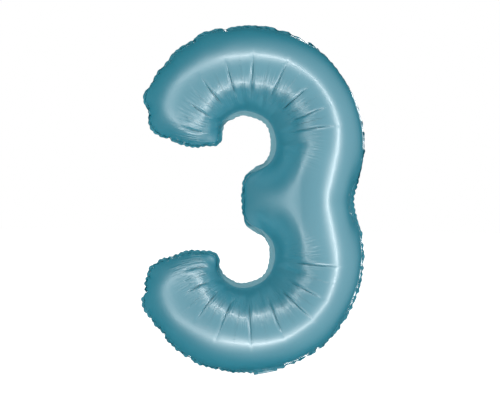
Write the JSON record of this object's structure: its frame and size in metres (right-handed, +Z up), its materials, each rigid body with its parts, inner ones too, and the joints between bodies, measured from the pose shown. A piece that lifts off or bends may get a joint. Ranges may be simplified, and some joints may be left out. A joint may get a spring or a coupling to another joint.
{
  "type": "number foil balloon",
  "caption": "Inflated satin foil balloon shaped as the numeral three, with a welded puckered edge, a folded inflation tail and a self-sealing flap valve.",
  "frame": {"origin": "under the middle of the numeral, at its lowest point, in the plane of the weld", "axes": "+Z up the numeral, +X to the reader's right, front faces -Y"},
  "size_m": [0.4237, 0.1654, 0.6827],
  "materials": {
    "film": "satin metallised pastel blue film",
    "valve_film": "translucent milky film"
  },
  "bodies": {
    "balloon": {"front_panel": "film", "back_panel": "film"},
    "tail": {"tail_front": "film", "tail_back": "film", "valve_tail_front": "valve_film", "valve_tail_back": "valve_film"},
    "flap_front": {"valve_flap_front": "valve_film"},
    "flap_back": {"valve_flap_back": "valve_film"}
  },
  "joints": [
    {"name": "tail_fold", "type": "hinge", "parent": "balloon", "child": "tail", "pos_m": [0.02541, 0.0017, 0.00753], "axis": [0.9816, 0, 0.1908], "range_deg": [-115, 0]},
    {"name": "flap_front_part", "type": "hinge", "parent": "balloon", "child": "flap_front", "pos_m": [0.02245, 0, 0.02275], "axis": [0.9816, 0, 0.1908], "range_deg": [0, 12], "stiffness_Nm_per_rad": 0.002},
    {"name": "flap_back_part", "type": "hinge", "parent": "balloon", "child": "flap_back", "pos_m": [0.02245, 0, 0.02275], "axis": [0.9816, 0, 0.1908], "range_deg": [-12, 0], "stiffness_Nm_per_rad": 0.002}
  ],
  "couplings": [
    {"joint": "flap_back_part", "follows": "flap_front_part", "ratio": -1}
  ]
}
